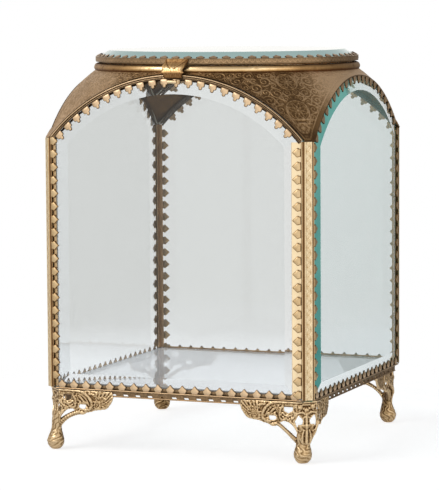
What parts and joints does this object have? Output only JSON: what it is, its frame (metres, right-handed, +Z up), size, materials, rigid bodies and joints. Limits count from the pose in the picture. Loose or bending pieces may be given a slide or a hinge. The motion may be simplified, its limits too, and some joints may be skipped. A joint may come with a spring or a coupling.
{
  "type": "glass casket box",
  "caption": "Square bevelled-glass keepsake casket with arched panes, toothed brass strips, an embossed domed shoulder, a round hinged glass lid and cast openwork feet.",
  "frame": {"origin": "middle of the footprint, on the surface that the feet stand on", "axes": "+X right, +Y to the rear where the hinge is, +Z up"},
  "size_m": [0.1416, 0.142, 0.1972],
  "materials": {
    "bevelled_glass": "clear polished glass, faint blue-green at the bevels",
    "engraved_brass": "pale antique brass with fine engraving",
    "toothed_brass": "rosy antique brass, dark in the gaps",
    "embossed_brass": "dark bronzed brass with embossed scrollwork",
    "cast_brass": "cast antique brass with dark crevices",
    "dark_brass": "dull bronzed brass"
  },
  "bodies": {
    "box": {"front_glass": "bevelled_glass", "right_glass": "bevelled_glass", "rear_glass": "bevelled_glass", "left_glass": "bevelled_glass", "bottom_glass": "bevelled_glass", "corner_post_front_right": "engraved_brass", "corner_post_rear_right": "engraved_brass", "corner_post_rear_left": "engraved_brass", "corner_post_front_left": "engraved_brass", "inner_angle_front_right": "dark_brass", "inner_angle_rear_right": "dark_brass", "inner_angle_rear_left": "dark_brass", "inner_angle_front_left": "dark_brass", "bottom_rail_front": "toothed_brass", "bottom_rail_right": "toothed_brass", "bottom_rail_rear": "toothed_brass", "bottom_rail_left": "toothed_brass", "arch_strip_front": "toothed_brass", "arch_strip_right": "toothed_brass", "arch_strip_rear": "toothed_brass", "arch_strip_left": "toothed_brass", "shoulder_front_right": "embossed_brass", "shoulder_rear_right": "embossed_brass", "shoulder_rear_left": "embossed_brass", "shoulder_front_left": "embossed_brass", "foot_front_right": "cast_brass", "foot_rear_right": "cast_brass", "foot_rear_left": "cast_brass", "foot_front_left": "cast_brass", "collar_ring": "engraved_brass", "catch_bar": "engraved_brass", "hinge_body_leaf": "dark_brass", "hinge_pin": "dark_brass"},
    "lid": {"hinge_lid_leaf": "dark_brass", "lid_rim": "toothed_brass", "lid_glass": "bevelled_glass", "lid_clasp": "engraved_brass"}
  },
  "joints": [
    {"name": "lid_hinge", "type": "hinge", "parent": "box", "child": "lid", "pos_m": [0, 0.06865, 0.19115], "axis": [-1, 0, 0], "range_deg": [0, 105]}
  ]
}
